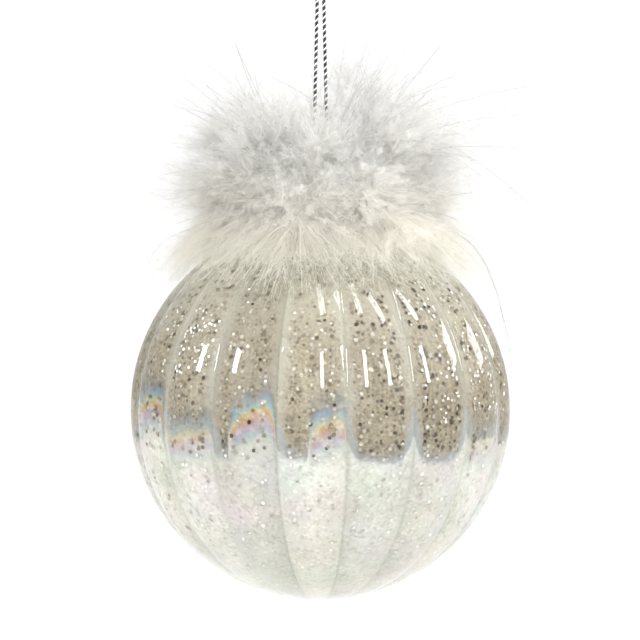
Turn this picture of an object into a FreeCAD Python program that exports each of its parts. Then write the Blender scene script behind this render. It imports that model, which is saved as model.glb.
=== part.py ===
"""A fluted glass ball ornament with a feather collar, hanging from a looped cord.

The frame: millimetres, +Z up, and the origin where the cord's two strands enter its knot,
because that is where the ornament is hung. Heights in the sheet are measured from the ball's
centre, and ball_drop is how far that centre hangs below the origin.
"""

import FreeCAD, Part, Sketcher
import math
import os

DOC = FreeCAD.newDocument("ball_ornament")
UP = FreeCAD.Vector(0, 0, 1)
ACROSS = FreeCAD.Vector(1, 0, 0)
AWAY = FreeCAD.Vector(0, 1, 0)

DIMENSIONS = {
    # the ball
    "ball_radius": 40.0,
    "ball_drop": 96.5,
    "flute_count": 17,
    "flute_radius": 14.5,
    "flute_turn": 13.3,
    "glass_inside": 38.2,
    "pip_radius": 3.4,
    "pip_height": 2.0,
    "pip_proud": 0.3,
    # the neck
    "neck_radius": 7.3,
    "neck_bore": 5.6,
    "neck_top": 47.0,
    "neck_sink": 4.0,
    "bore_bottom": 1.0,
    # the coats inside the glass
    "coat_gap": 0.05,
    "coat_thickness": 0.4,
    "coat_split": -6.0,
    "coat_split_gap": 0.1,
    "coat_top": 37.0,
    # the cap
    "cap_radius": 8.1,
    "cap_wall": 0.4,
    "cap_bottom": 40.4,
    "cap_top": 47.8,
    "crimp_count": 20,
    "crimp_radius": 0.6,
    "crimp_depth": 0.22,
    # the wire clip
    "wire": 0.8,
    "leg_hole": 1.2,
    "leg_tip": 24.0,
    "leg_reach": 5.1,
    "leg_knee": 37.5,
    "leg_spacing": 3.0,
    "leg_waist": 45.5,
    "knee_bend": 6.0,
    "waist_bend": 4.0,
    "foot_bend": 1.0,
    "shoulder_bend": 1.2,
    "eye_foot": 51.5,
    "eye_shoulder": 53.0,
    "eye_top": 58.6,
    "eye_width": 6.8,
    "eye_flat": 0.1,
    # the collar
    "core_ring": 9.0,
    "core_cord": 0.8,
    "core_height": 42.6,
    "core_gap": 0.05,
    "glue_ring": 8.75,
    "glue_size": 0.5,
    "glue_height": 41.2,
    "tie_radius": 1.1,
    "tie_height": 43.4,
    "tie_ring": 11.0,
    "tie_angle": -112.0,
    # the plumes
    "plume_sector": 43.4,
    "plume_bottom": 26.5,
    "plume_clear": 0.6,
    "plume_inside": 12.3,
    "inside_bottom": 37.8,
    "inside_height": 12.0,
    "plume_round": 13.0,
    "well_radius": 5.2,
    "well_bottom": 45.0,
    "well_turn": 58.0,
    "well_top": 70.0,
    "well_mouth": 9.6,
    "quill_root": 10.2,
    "quill_height": 45.4,
    "quill_thick": 0.45,
    "quill_thin": 0.15,
    "quill_length": 17.0,
    "quill_tilt": 42.0,
    # the cord
    "cord": 0.75,
    "strand_top": 0.45,
    "strand_foot": 1.33,
    "cord_bottom": 57.8,
    "knot_radius": 1.25,
    "knot_half_height": 1.7,
    "knot_sink": 0.1,
    "tail_length": 5.0,
    "tail_lean": 12.0,
}

# place of each plume: its name, direction about the axis, reach from the axis, and top
PLUMES = [
    ("right", 0.0, 30.0, 67.0),
    ("back_right", 45.0, 29.0, 68.5),
    ("back", 90.0, 28.0, 66.0),
    ("back_left", 135.0, 27.5, 64.0),
    ("left", 180.0, 27.5, 62.0),
    ("front_left", 225.0, 27.0, 60.5),
    ("front", 270.0, 27.5, 60.0),
    ("front_right", 315.0, 28.5, 63.0),
]
for plume, _, reach, top in PLUMES:
    DIMENSIONS[f"reach_{plume}"] = reach
    DIMENSIONS[f"top_{plume}"] = top

nodes = []


def make_sheet():
    """The driving dimensions, one alias to a row."""
    sheet = DOC.addObject("Spreadsheet::Sheet", "dims")
    for row, (alias, value) in enumerate(DIMENSIONS.items(), start=1):
        sheet.set(f"A{row}", alias)
        sheet.set(f"B{row}", str(value))
        sheet.setAlias(f"B{row}", alias)
    DOC.recompute()
    return sheet


SHEET = make_sheet()


def dim(alias):
    """A driving dimension as a number."""
    return float(getattr(SHEET, alias))


def bind(thing, **expressions):
    """Sets each property from an expression in which a sheet alias is written as @alias."""
    for name, expression in expressions.items():
        thing.setExpression(name.replace("__", "."), expression.replace("@", "dims."))
    return thing


def lift(thing, height):
    """Places a piece at a height above the ball's centre."""
    return bind(thing, Placement__Base__z=f"{height} - @ball_drop")


def node(thing, label):
    """Marks an object as one finished sub-part."""
    thing.Label = label
    nodes.append(thing)
    return thing


def primitive(kind, name, **expressions):
    return bind(DOC.addObject(f"Part::{kind}", name), **expressions)


def cut(name, base, tool):
    thing = DOC.addObject("Part::Cut", name)
    thing.Base, thing.Tool = base, tool
    return thing


def common(name, base, tool):
    thing = DOC.addObject("Part::Common", name)
    thing.Base, thing.Tool = base, tool
    return thing


def fuse(name, shapes):
    thing = DOC.addObject("Part::MultiFuse", name)
    thing.Shapes = shapes
    return thing


def about(axis, angle):
    return FreeCAD.Rotation(axis, angle)


# ---- the glass ball ----


def lobed_ball():
    """The ball's outside: a slice of a torus for each flute, side by side round the axis."""
    slices = []
    count = int(dim("flute_count"))
    for i in range(count):
        turn = dim("flute_turn") + i * 360.0 / count
        ring = primitive(
            "Torus",
            f"flute_ring_{i}",
            Radius1="@ball_radius - @flute_radius",
            Radius2="@flute_radius",
        )
        ring.Placement.Rotation = about(UP, turn) * about(ACROSS, 90)
        lift(ring, "0")
        wedge = primitive(
            "Cylinder",
            f"flute_wedge_{i}",
            Radius="@ball_radius + 1",
            Height="2 * @ball_radius + 2",
            Angle="360 / @flute_count",
        )
        wedge.Placement.Rotation = about(UP, turn - 180.0 / count)
        lift(wedge, "-@ball_radius - 1")
        slices.append(common(f"flute_{i}", ring, wedge))
    return fuse("lobed_ball", slices)


def glass_ball():
    neck = primitive(
        "Cylinder",
        "neck",
        Radius="@neck_radius",
        Height="@neck_top - @glass_inside + @neck_sink",
    )
    lift(neck, "@glass_inside - @neck_sink")
    pip = primitive("Cylinder", "pip", Radius="@pip_radius", Height="@pip_height")
    lift(pip, "-@ball_radius - @pip_proud")
    outside = fuse("glass_outside", [lobed_ball(), neck, pip])
    hollow = lift(primitive("Sphere", "glass_hollow", Radius="@glass_inside"), "0")
    bore = primitive("Cylinder", "neck_hole", Radius="@neck_bore", Height="@neck_top")
    lift(bore, "@bore_bottom")
    inside = fuse("glass_inside", [hollow, bore])
    node(cut("glass_ball", outside, inside), "glass_ball")


def coat(name, low, high):
    """A thin layer on the inside of the glass, between two heights."""
    outer = primitive(
        "Sphere",
        f"{name}_outer",
        Radius="@glass_inside - @coat_gap",
        Angle1=f"asin({low} / (@glass_inside - @coat_gap))" if low else "-90",
        Angle2=f"asin({high} / (@glass_inside - @coat_gap))",
    )
    inner = primitive(
        "Sphere", f"{name}_inner", Radius="@glass_inside - @coat_gap - @coat_thickness"
    )
    lift(outer, "0")
    lift(inner, "0")
    node(cut(name, outer, inner), name)


# ---- sketched bodies ----


def origin_plane(body, role):
    return next(f for f in body.Origin.OriginFeatures if f.Role == role)


def sketch_on(body, role, name):
    sketch = body.newObject("Sketcher::SketchObject", name)
    sketch.AttachmentSupport = (origin_plane(body, role), "")
    sketch.MapMode = "FlatFace"
    return sketch


def number(expression):
    """The value of an expression in the sheet's aliases, for a sketch's first guess."""
    names = {alias: dim(alias) for alias in DIMENSIONS}
    total = 0.0
    for term in expression.replace("-", "+-").split("+"):
        term = term.strip()
        if term:
            sign = -1.0 if term.startswith("-") else 1.0
            key = term.lstrip("- ")
            total += sign * (names[key[1:]] if key.startswith("@") else float(key))
    return total


def outline(sketch, corners):
    """A closed outline whose corners are given as pairs of expressions."""
    points = [FreeCAD.Vector(number(x), number(z), 0) for x, z in corners]
    for i, point in enumerate(points):
        sketch.addGeometry(Part.LineSegment(point, points[(i + 1) % len(points)]))
    for i in range(len(points)):
        sketch.addConstraint(
            Sketcher.Constraint("Coincident", i, 2, (i + 1) % len(points), 1)
        )
    for i, (x, z) in enumerate(corners):
        for kind, value in (("DistanceX", x), ("DistanceY", z)):
            index = sketch.addConstraint(
                Sketcher.Constraint(kind, -1, 1, i, 1, number(value))
            )
            sketch.setExpression(f"Constraints[{index}]", value.replace("@", "dims."))


def cap_shell():
    """A stamped cup over the neck, crimped round its skirt, with two holes for the clip."""
    body = DOC.addObject("PartDesign::Body", "cap_shell")
    profile = sketch_on(body, "XZ_Plane", "cap_profile")
    outline(
        profile,
        [
            ("0", "@cap_top-@cap_wall"),
            ("@cap_radius-@cap_wall", "@cap_top-@cap_wall"),
            ("@cap_radius-@cap_wall", "@cap_bottom"),
            ("@cap_radius", "@cap_bottom"),
            ("@cap_radius", "@cap_top"),
            ("0", "@cap_top"),
        ],
    )
    cup = body.newObject("PartDesign::Revolution", "cap_cup")
    cup.Profile = profile
    cup.ReferenceAxis = (profile, ["V_Axis"])
    cup.Angle = 360
    DOC.recompute()

    crimp_sketch = sketch_on(body, "XY_Plane", "crimp_outline")
    out = dim("cap_radius") + dim("crimp_radius") - dim("crimp_depth")
    crimp_sketch.addGeometry(
        Part.Circle(FreeCAD.Vector(out, 0, 0), UP, dim("crimp_radius"))
    )
    place = crimp_sketch.addConstraint(
        Sketcher.Constraint("DistanceX", -1, 1, 0, 3, out)
    )
    crimp_sketch.setExpression(
        f"Constraints[{place}]", "dims.cap_radius + dims.crimp_radius - dims.crimp_depth"
    )
    crimp_sketch.addConstraint(Sketcher.Constraint("PointOnObject", 0, 3, -1))
    size = crimp_sketch.addConstraint(
        Sketcher.Constraint("Radius", 0, dim("crimp_radius"))
    )
    crimp_sketch.setExpression(f"Constraints[{size}]", "dims.crimp_radius")
    crimp = body.newObject("PartDesign::Pocket", "crimp")
    crimp.Profile = crimp_sketch
    crimp.Type = 0
    crimp.Reversed = True
    bind(crimp, Length="@cap_top - 2 * @cap_wall")
    crimps = body.newObject("PartDesign::PolarPattern", "crimps")
    crimps.Originals = [crimp]
    crimps.Axis = (crimp_sketch, ["N_Axis"])
    crimps.Angle = 360
    bind(crimps, Occurrences="@crimp_count")
    body.Tip = crimps
    DOC.recompute()

    hole_sketch = sketch_on(body, "XY_Plane", "leg_hole_outline")
    for i, side in enumerate((1, -1)):
        centre = side * dim("leg_spacing") / 2
        hole_sketch.addGeometry(
            Part.Circle(FreeCAD.Vector(0, centre, 0), UP, dim("leg_hole") / 2)
        )
        index = hole_sketch.addConstraint(
            Sketcher.Constraint("DistanceY", -1, 1, i, 3, centre)
        )
        hole_sketch.setExpression(
            f"Constraints[{index}]", f"{side} * dims.leg_spacing / 2"
        )
        hole_sketch.addConstraint(Sketcher.Constraint("PointOnObject", i, 3, -2))
        index = hole_sketch.addConstraint(
            Sketcher.Constraint("Radius", i, dim("leg_hole") / 2)
        )
        hole_sketch.setExpression(f"Constraints[{index}]", "dims.leg_hole / 2")
    holes = body.newObject("PartDesign::Pocket", "leg_holes")
    holes.Profile = hole_sketch
    holes.Type = 0
    holes.Reversed = True
    bind(holes, Length="@cap_top + 1")
    body.Tip = holes
    lift(body, "0")
    node(body, "cap_shell")


# ---- wire and cord, as tubes along straight runs joined by tangent arcs ----


def rounded_wire(points, radii):
    """Straight runs through the points, with an arc of the given radius at each inner point."""
    edges = []
    start = points[0]
    for before, corner, after, radius in zip(points, points[1:], points[2:], radii):
        into = (corner - before).normalize()
        out = (after - corner).normalize()
        turn = into.getAngle(out)
        back = radius * math.tan(turn / 2)
        first = corner - into * back
        last = corner + out * back
        inward = (out - into).normalize()
        middle = corner + inward * (radius / math.cos(turn / 2) - radius)
        edges.append(Part.LineSegment(start, first).toShape())
        edges.append(Part.Arc(first, middle, last).toShape())
        start = last
    edges.append(Part.LineSegment(start, points[-1]).toShape())
    return Part.Wire(edges)


def tube(path, diameter):
    start = path.Edges[0]
    direction = start.tangentAt(start.FirstParameter)
    circle = Part.Circle(path.Vertexes[0].Point, direction, diameter / 2)
    section = Part.Wire(circle.toShape())
    return path.makePipeShell([section], True, True)


def piece(name, shape):
    """A sub-part whose shape is set from the sheet's values, placed below the origin."""
    thing = DOC.addObject("Part::Feature", name)
    thing.Shape = shape
    thing.Placement.Base = FreeCAD.Vector(0, 0, -dim("ball_drop"))
    return node(thing, name)


def spring_clip():
    """One wire: a leg, the eye that the cord goes through, and the other leg."""
    leg, eye = dim("leg_spacing") / 2, dim("eye_width") / 2
    half = [
        (dim("leg_reach"), dim("leg_tip"), None),
        (dim("leg_reach"), dim("leg_knee"), dim("knee_bend")),
        (leg, dim("leg_waist"), dim("waist_bend")),
        (leg, dim("eye_foot"), dim("foot_bend")),
        (eye, dim("eye_shoulder"), dim("shoulder_bend")),
        (eye, dim("eye_top"), eye - dim("eye_flat") / 2),
    ]
    left = [FreeCAD.Vector(0, -y, z) for y, z, _ in half]
    right = [FreeCAD.Vector(0, y, z) for y, z, _ in reversed(half)]
    radii = [radius for _, _, radius in half[1:]]
    path = rounded_wire(left + right, radii + radii[::-1])
    piece("spring_clip", tube(path, dim("wire")))


def hanging_cord():
    """The doubled cord: down from the knot, round the wire eye, and back up to the knot."""
    top, low = dim("ball_drop"), dim("cord_bottom")
    route = [
        FreeCAD.Vector(-dim("strand_top"), 0, top),
        FreeCAD.Vector(-dim("strand_foot"), 0, low),
        FreeCAD.Vector(dim("strand_foot"), 0, low),
        FreeCAD.Vector(dim("strand_top"), 0, top),
    ]
    turn = (route[1] - route[0]).getAngle(route[2] - route[1])
    radius = 0.45 * (route[2] - route[1]).Length / math.tan(turn / 2)
    path = rounded_wire(route, [radius, radius])
    shape = tube(path, dim("cord"))
    section = math.pi * dim("cord") ** 2 / 4
    print(f"cord: bend radius {radius:.2f} mm, length {path.Length:.1f} mm,")
    print(f"  volume {shape.Volume:.2f}, section times length {section * path.Length:.2f}")
    piece("hanging_cord", shape)


def cord_knot():
    knot = primitive(
        "Ellipsoid",
        "cord_knot",
        Radius1="@knot_half_height",
        Radius2="@knot_radius",
        Radius3="@knot_radius",
        Placement__Base__z="@knot_half_height - @knot_sink",
    )
    node(knot, "cord_knot")


def cord_tails():
    """The cord's two cut ends, which stand up from the knot and lean apart."""
    tails = []
    for side in (-1, 1):
        tail = primitive(
            "Cylinder",
            "tail_left" if side < 0 else "tail_right",
            Radius="@cord / 2",
            Height="@tail_length",
            Placement__Base__x=f"{side} * @strand_top",
            Placement__Base__z="@knot_half_height",
        )
        tail.Placement.Rotation = about(AWAY, side * dim("tail_lean"))
        tails.append(tail)
    both = DOC.addObject("Part::Compound", "cord_tails")
    both.Links = tails
    node(both, "cord_tails")


# ---- the collar ----


def collar_core():
    """Two turns of core cord round the cap's skirt, one above the other."""
    turns = []
    for i in range(2):
        ring = primitive(
            "Torus", f"core_turn_{i}", Radius1="@core_ring", Radius2="@core_cord"
        )
        turns.append(lift(ring, f"@core_height + {i} * (2 * @core_cord + @core_gap)"))
    both = DOC.addObject("Part::Compound", "collar_core")
    both.Links = turns
    node(both, "collar_core")


def glue_bead():
    bead = primitive("Torus", "glue_bead", Radius1="@glue_ring", Radius2="@glue_size")
    node(lift(bead, "@glue_height"), "glue_bead")


def collar_knot():
    tie = primitive(
        "Sphere",
        "collar_knot",
        Radius="@tie_radius",
        Placement__Base__x="@tie_ring * cos(@tie_angle)",
        Placement__Base__y="@tie_ring * sin(@tie_angle)",
    )
    node(lift(tie, "@tie_height"), "collar_knot")


def plume_tool():
    """What every plume leaves free: the ball, the cap with its core, and the cord's well."""
    ball = primitive("Sphere", "clear_of_ball", Radius="@ball_radius + @plume_clear")
    lift(ball, "0")
    hub = primitive(
        "Cylinder", "clear_of_cap", Radius="@plume_inside", Height="@inside_height"
    )
    lift(hub, "@inside_bottom")
    shaft = primitive(
        "Cylinder",
        "clear_of_clip",
        Radius="@well_radius",
        Height="@well_turn - @well_bottom",
    )
    lift(shaft, "@well_bottom")
    mouth = primitive(
        "Cone",
        "clear_of_cord",
        Radius1="@well_radius",
        Radius2="@well_mouth",
        Height="@well_top - @well_turn",
    )
    lift(mouth, "@well_turn")
    return fuse("plume_clearance", [ball, hub, shaft, mouth])


def plume(name, angle, clearance):
    """One plume of the collar: a rounded sector, resting just above the ball's shoulder."""
    block = primitive(
        "Cylinder",
        f"block_{name}",
        Radius=f"@reach_{name}",
        Height=f"@top_{name} - @plume_bottom",
        Angle="@plume_sector",
    )
    block.Placement.Rotation = about(UP, angle - dim("plume_sector") / 2)
    lift(block, "@plume_bottom")
    DOC.recompute()
    rim = [
        i + 1
        for i, edge in enumerate(block.Shape.Edges)
        if edge.Curve.TypeId == "Part::GeomCircle"
        and edge.BoundBox.ZMin > block.Shape.BoundBox.ZMax - 0.01
    ]
    rounded = DOC.addObject("Part::Fillet", f"rounded_{name}")
    rounded.Base = block
    rounded.Edges = [(i, dim("plume_round"), dim("plume_round")) for i in rim]
    node(cut(f"plume_{name}", rounded, clearance), f"plume_{name}")


def quill(name, angle):
    """The tapered stem of a plume, bound to the core and leaning out and up."""
    stem = primitive(
        "Cone",
        f"quill_{name}",
        Radius1="@quill_thick",
        Radius2="@quill_thin",
        Height="@quill_length",
        Placement__Base__x=f"@quill_root * cos({angle})",
        Placement__Base__y=f"@quill_root * sin({angle})",
    )
    stem.Placement.Rotation = about(UP, angle) * about(AWAY, 90 - dim("quill_tilt"))
    node(lift(stem, "@quill_height"), f"quill_{name}")


def check_and_write():
    DOC.recompute()
    for thing in DOC.Objects:
        bad = {"Invalid", "Error"} & set(thing.State)
        if bad:
            raise RuntimeError(f"{thing.Name} is {sorted(bad)}")
    for thing in nodes:
        shape = thing.Shape
        if shape.isNull() or not shape.isValid() or not shape.Solids:
            raise RuntimeError(f"{thing.Label} has no valid solid")
    os.makedirs("parts", exist_ok=True)
    for thing in nodes:
        thing.Shape.exportStep(f"parts/{thing.Label}.step")
        box = thing.Shape.BoundBox
        print(
            f"{thing.Label:20s} {len(thing.Shape.Solids)} solid(s) {thing.Shape.Volume:10.2f} mm3"
            f"  x {box.XMin:.1f}..{box.XMax:.1f}  z {box.ZMin:.1f}..{box.ZMax:.1f}"
        )


glass_ball()
coat("glitter_coat", "@coat_split", "@coat_top")
coat("pearl_coat", None, "(@coat_split - @coat_split_gap)")
cap_shell()
spring_clip()
hanging_cord()
cord_knot()
cord_tails()
collar_core()
glue_bead()
collar_knot()
CLEARANCE = plume_tool()
for plume_name, plume_angle, _, _ in PLUMES:
    plume(plume_name, plume_angle, CLEARANCE)
    quill(plume_name, plume_angle)
check_and_write()
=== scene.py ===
"""Looks of the glass ball ornament: fluted glass over glitter, a marabou collar and a metallic cord.

Everything is in metres in the frame of the CAD model: +Z up, the origin under the cord's knot,
and the viewer on the -Y side. Directions about the axis are in degrees from +X.
"""

import math

import bpy
import numpy as np
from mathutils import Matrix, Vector


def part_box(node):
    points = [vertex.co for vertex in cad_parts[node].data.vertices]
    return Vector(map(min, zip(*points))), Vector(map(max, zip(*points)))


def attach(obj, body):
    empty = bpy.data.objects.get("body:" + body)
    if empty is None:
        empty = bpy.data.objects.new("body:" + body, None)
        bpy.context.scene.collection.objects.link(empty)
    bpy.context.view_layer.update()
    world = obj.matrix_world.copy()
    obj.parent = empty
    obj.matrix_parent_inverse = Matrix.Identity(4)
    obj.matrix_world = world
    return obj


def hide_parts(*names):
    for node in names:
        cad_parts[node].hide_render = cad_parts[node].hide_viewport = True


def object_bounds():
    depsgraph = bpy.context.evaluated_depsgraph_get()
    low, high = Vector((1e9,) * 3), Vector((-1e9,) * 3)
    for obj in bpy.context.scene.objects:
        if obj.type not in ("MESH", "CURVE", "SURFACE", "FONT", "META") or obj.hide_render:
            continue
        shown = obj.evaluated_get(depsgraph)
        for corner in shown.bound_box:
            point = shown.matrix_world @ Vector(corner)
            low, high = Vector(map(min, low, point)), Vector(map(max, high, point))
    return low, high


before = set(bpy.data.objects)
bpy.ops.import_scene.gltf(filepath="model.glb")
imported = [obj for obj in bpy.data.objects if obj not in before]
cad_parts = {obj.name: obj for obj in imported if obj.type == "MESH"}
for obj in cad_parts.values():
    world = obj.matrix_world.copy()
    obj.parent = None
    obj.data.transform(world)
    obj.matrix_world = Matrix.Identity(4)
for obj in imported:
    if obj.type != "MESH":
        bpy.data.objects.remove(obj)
cad_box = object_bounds()

MM = 0.001
RNG = np.random.default_rng(20)

# ---- driving dimensions, which repeat the CAD model's ----
# COAT is the radius of the coats' outside, and SPLIT the height where glitter meets frost.
# Each plume has its direction, how far out it reaches from the axis and how high above the
# ball's centre, the last two in millimetres.
BALL = 40.0 * MM
PIP_PROUD = 0.3 * MM
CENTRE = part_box("glass_ball")[0].z + PIP_PROUD + BALL
FLUTES = 17
FLUTE_RADIUS = 14.5 * MM
FLUTE_TURN = 13.3
COAT = 38.15 * MM
SPLIT = CENTRE - 6.0 * MM
CORD = 0.75 * MM
PLUMES = {
    "right": (0, 30.0, 67.0),
    "back_right": (45, 29.0, 68.5),
    "back": (90, 28.0, 66.0),
    "back_left": (135, 27.5, 64.0),
    "left": (180, 27.5, 62.0),
    "front_left": (225, 27.0, 60.5),
    "front": (270, 27.5, 60.0),
    "front_right": (315, 28.5, 63.0),
}


# ---- camera ----

# A long lens, slightly above level, whose view is VIEW_WIDTH wide where it is aimed.
LENS, SENSOR = 180, 36
VIEW_WIDTH = 134.7 * MM
CAMERA_ELEVATION = 3.7
AIM = Vector((-0.1 * MM, 0, CENTRE + 18.9 * MM))


def make_camera():
    data = bpy.data.cameras.new("camera")
    data.lens, data.sensor_width = LENS, SENSOR
    data.clip_start, data.clip_end = 0.01, 20
    camera = bpy.data.objects.new("camera", data)
    bpy.context.scene.collection.objects.link(camera)
    tilt = math.radians(CAMERA_ELEVATION)
    back = Vector((0, -math.cos(tilt), math.sin(tilt)))
    camera.location = AIM + back * (VIEW_WIDTH * LENS / SENSOR)
    camera.rotation_mode = "QUATERNION"
    camera.rotation_quaternion = (-back).to_track_quat("-Z", "Y")
    bpy.context.scene.camera = camera


make_camera()


# ---- mesh helpers ----


def fill_mesh(mesh, points, face_sets):
    """Gives a mesh its points and its faces, which come as arrays with one row for each face."""
    corners = np.concatenate([np.asarray(f, np.int32).ravel() for f in face_sets])
    sizes = np.concatenate([np.full(len(f), np.shape(f)[1], np.int32) for f in face_sets])
    mesh.vertices.add(len(points))
    mesh.vertices.foreach_set("co", np.asarray(points, np.float32).ravel())
    mesh.loops.add(len(corners))
    mesh.loops.foreach_set("vertex_index", corners)
    mesh.polygons.add(len(sizes))
    starts = np.concatenate([[0], np.cumsum(sizes)[:-1]]).astype(np.int32)
    mesh.polygons.foreach_set("loop_start", starts)
    mesh.update(calc_edges=True)
    mesh.validate()


def piece(name, points, face_sets, material, body, replaces=(), smooth=True):
    """A mesh of the given points and faces that rides on a body and stands for CAD nodes."""
    mesh = bpy.data.meshes.new(name)
    fill_mesh(mesh, points, face_sets)
    mesh.materials.append(material)
    mesh.polygons.foreach_set("use_smooth", [smooth] * len(mesh.polygons))
    obj = bpy.data.objects.new(name, mesh)
    bpy.context.scene.collection.objects.link(obj)
    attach(obj, body)
    if replaces:
        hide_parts(*replaces)
    return obj


def paint_points(obj, name, values):
    """Stores one number for each point of a piece, which its material reads."""
    values = np.asarray(values, np.float32).ravel()
    obj.data.attributes.new(name, "FLOAT", "POINT").data.foreach_set("value", values)


def unit(v):
    return v / np.maximum(np.linalg.norm(v, axis=-1, keepdims=True), 1e-12)


def grid_faces(rows, columns, closed=True):
    """Quads of a grid of points, row by row; closed joins the last column to the first."""
    i, j = np.meshgrid(
        np.arange(rows - 1), np.arange(columns if closed else columns - 1), indexing="ij"
    )
    nxt = (j + 1) % columns
    quads = [i * columns + j, i * columns + nxt, (i + 1) * columns + nxt, (i + 1) * columns + j]
    return np.stack(quads, axis=-1).reshape(-1, 4)


def tube(line, radius, sides=8):
    """Points and faces of a tube along a line of points, with its ends drawn to a point."""
    line = np.asarray(line)
    tangent = unit(np.gradient(line, axis=0))
    across = unit(np.cross(tangent[0], (0.31, 0.77, 0.55)))
    angle = np.linspace(0, 2 * math.pi, sides, endpoint=False)
    sizes = np.broadcast_to(radius, len(line)).copy()
    sizes[[0, -1]] *= 0.05
    rings = []
    for point, along, size in zip(line, tangent, sizes):
        across = unit(across - along * (across @ along))
        other = np.cross(along, across)
        ring = np.outer(np.cos(angle), across) + np.outer(np.sin(angle), other)
        rings.append(point + ring * size)
    return np.concatenate(rings), grid_faces(len(line), sides)


def join(parts):
    """One array of points and one of faces from several pairs."""
    counts = np.cumsum([0] + [len(p) for p, _ in parts])
    points = np.concatenate([p for p, _ in parts])
    return points, np.concatenate([f + n for (_, f), n in zip(parts, counts)])


# ---- material helpers ----


class Nodes:
    """A short way to write a material's node tree."""

    def __init__(self, name):
        self.material = bpy.data.materials.new(name)
        self.material.use_nodes = True
        self.tree = self.material.node_tree
        self.shader = self.tree.nodes["Principled BSDF"]
        self.output = self.tree.nodes["Material Output"]

    def add(self, kind, inputs=None, **settings):
        node = self.tree.nodes.new(f"ShaderNode{kind}")
        for key, value in settings.items():
            setattr(node, key, value)
        for key, value in (inputs or {}).items():
            self.feed(node.inputs[key], value)
        return node

    def feed(self, socket, value):
        if isinstance(value, bpy.types.NodeSocket):
            self.tree.links.new(value, socket)
        else:
            socket.default_value = value

    def set(self, **inputs):
        for key, value in inputs.items():
            self.feed(self.shader.inputs[key.replace("_", " ")], value)

    def math(self, operation, a, b=0.0, c=0.0):
        return self.add("Math", {0: a, 1: b, 2: c}, operation=operation).outputs[0]

    def position(self):
        return self.add("TexCoord").outputs["Object"]

    def ramp(self, factor, stops, interpolation="LINEAR"):
        node = self.add("ValToRGB", {"Fac": factor})
        node.color_ramp.interpolation = interpolation
        elements = node.color_ramp.elements
        while len(elements) < len(stops):
            elements.new(0.5)
        for element, (place, colour) in zip(elements, stops):
            element.position = place
            element.color = (*colour, 1)
        return node.outputs["Color"]

    def noise(self, scale, detail=3.0, vector=None, roughness=0.5):
        inputs = {"Scale": scale, "Detail": detail, "Roughness": roughness}
        inputs["Vector"] = vector or self.position()
        return self.add("TexNoise", inputs).outputs["Fac"]

    def mix(self, factor, a, b, blend="MIX"):
        node = self.add("Mix", data_type="RGBA", blend_type=blend)
        self.feed(node.inputs["Factor"], factor)
        self.feed(node.inputs["A"], a)
        self.feed(node.inputs["B"], b)
        return node.outputs["Result"]

    def bump(self, height, strength, distance):
        inputs = {"Height": height, "Strength": strength, "Distance": distance}
        return self.add("Bump", inputs).outputs["Normal"]


def rgb(r, g, b):
    """An sRGB colour in 0 to 255 as linear values."""
    return tuple((c / 255) ** 2.2 for c in (r, g, b))


def rgba(r, g, b):
    return (*rgb(r, g, b), 1)


# ---- materials ----


def glass_material():
    """Clear glass that bends what is behind it and lets the lamps straight through."""
    n = Nodes("fluted_glass")
    # Along the creases the glass is tinted grey-green: painted shade for the light that the glass bends
    # there.
    crease = n.add("Attribute", attribute_name="crease").outputs["Fac"]
    n.set(
        Base_Color=n.mix(crease, (1, 1, 1, 1), rgba(226, 229, 222)),
        Roughness=0.02,
        IOR=1.45,
        Normal=n.bump(n.noise(70.0, 2.0), 0.12, 0.0004),
    )
    n.set(Transmission_Weight=1.0)
    clear = n.add("BsdfTransparent", {"Color": (1, 1, 1, 1)})
    path = n.add("LightPath").outputs
    lamps = n.math("MAXIMUM", path["Is Shadow Ray"], path["Is Diffuse Ray"])
    mixed = n.add("MixShader", {"Fac": lamps})
    n.tree.links.new(n.shader.outputs[0], mixed.inputs[1])
    n.tree.links.new(clear.outputs[0], mixed.inputs[2])
    n.tree.links.new(mixed.outputs[0], n.output.inputs["Surface"])
    return n.material


def flake_material():
    """Glossy flakes, each in its own tone."""
    n = Nodes("glitter_flake")
    tone = n.add("Attribute", attribute_name="tone").outputs["Color"]
    speck = n.ramp(n.noise(2500.0, 1.0), [(0.3, (0.8, 0.8, 0.8)), (0.7, (1, 1, 1))])
    n.set(Base_Color=n.mix(1.0, tone, speck, "MULTIPLY"), Roughness=0.3, Metallic=0.3)
    return n.material


def feather_material(name):
    """Down that lets light through, creamy below and cooler above, lighter low down as painted light
    against the shade under the collar, with wisps greyed by painted shade.
    """
    n = Nodes(name)
    height = n.add("SeparateXYZ", {"Vector": n.position()}).outputs["Z"]
    low, high = CENTRE + 28 * MM, CENTRE + 52 * MM
    up = n.add("MapRange", {"Value": height, "From Min": low, "From Max": high}).outputs[0]
    # Creamy below and cooler above; the lighter colour low down is painted light against the shade that
    # falls under the collar.
    tones = [(0.0, rgb(254, 253, 242)), (0.45, rgb(253, 250, 242)), (1.0, rgb(240, 239, 236))]
    body = n.ramp(up, tones)
    streak = n.ramp(n.noise(160.0, 3.0), [(0.3, (0.97, 0.965, 0.955)), (0.6, (1, 1, 1))])
    # The wisps are greyed: painted shade, for how their thin barbs shade against the white room.
    wisp_shade = n.math("MULTIPLY", n.add("Attribute", attribute_name="wisp_shade").outputs["Fac"], 0.8)
    colour = n.mix(wisp_shade, n.mix(1.0, body, streak, "MULTIPLY"), rgba(196, 196, 192))
    n.set(Base_Color=colour, Roughness=0.9)
    n.set(Specular_IOR_Level=0.2, Sheen_Weight=0.3)
    through = n.add("BsdfTranslucent", {"Color": colour})
    mixed = n.add("MixShader", {"Fac": 0.55})
    n.tree.links.new(n.shader.outputs[0], mixed.inputs[1])
    n.tree.links.new(through.outputs[0], mixed.inputs[2])
    n.tree.links.new(mixed.outputs[0], n.output.inputs["Surface"])
    return n.material


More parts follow.
